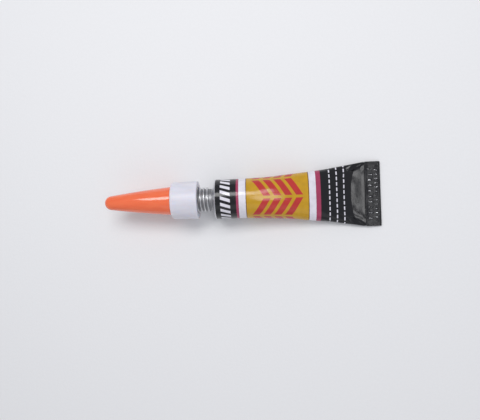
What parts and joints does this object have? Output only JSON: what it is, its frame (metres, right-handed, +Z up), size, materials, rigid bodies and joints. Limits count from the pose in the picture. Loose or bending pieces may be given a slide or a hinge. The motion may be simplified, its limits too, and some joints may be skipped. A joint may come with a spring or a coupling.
{
  "type": "adhesive tube",
  "caption": "Soft aluminium squeeze tube of instant adhesive with a folded tail, threaded neck, screw-on piercing nozzle and tapered push-on cap.",
  "frame": {"origin": "on the table, under the middle of the whole length", "axes": "+X towards the folded tail, +Y across the tube, +Z up; the tube's axis slopes down towards the tail by 7.2 degrees"},
  "size_m": [0.0972, 0.0226, 0.0157],
  "materials": {
    "lacquered_aluminium": "printed gloss lacquer over soft aluminium",
    "bare_aluminium": "bare drawn aluminium",
    "latex_sealant": "dried latex film",
    "liquid_adhesive": "clear thin liquid",
    "natural_plastic": "translucent natural polyethylene",
    "orange_plastic": "glossy orange polypropylene",
    "pin_plastic": "plain moulded plastic"
  },
  "bodies": {
    "tube": {"tube_body": "lacquered_aluminium", "seal_membrane": "bare_aluminium", "end_sealant": "latex_sealant", "adhesive": "liquid_adhesive"},
    "spike": {"piercing_spike": "natural_plastic"},
    "nozzle": {"nozzle": "natural_plastic"},
    "pin": {"cap_pin": "pin_plastic"},
    "cap": {"cap": "orange_plastic"}
  },
  "joints": [
    {"name": "nozzle_advance", "type": "slide", "parent": "tube", "child": "spike", "axis": [0.9921, 0, -0.1252], "range_m": [-0.0029, 0.005], "deforming": ["seal_membrane"]},
    {"name": "nozzle_turn", "type": "hinge", "parent": "spike", "child": "nozzle", "pos_m": [-0.00893, 0, 0.00745], "axis": [0.9921, 0, -0.1252], "range_deg": [-835.2, 1440], "deforming": ["seal_membrane"]},
    {"name": "cap_pull", "type": "slide", "parent": "nozzle", "child": "pin", "axis": [-0.9921, 0, 0.1252], "range_m": [0, 0.025]},
    {"name": "cap_twist", "type": "hinge", "parent": "pin", "child": "cap", "pos_m": [-0.02441, 0, 0.0094], "axis": [-0.9921, 0, 0.1252], "continuous": true}
  ],
  "couplings": [
    {"joint": "nozzle_turn", "follows": "nozzle_advance", "rad_per_m": 5026.5}
  ]
}
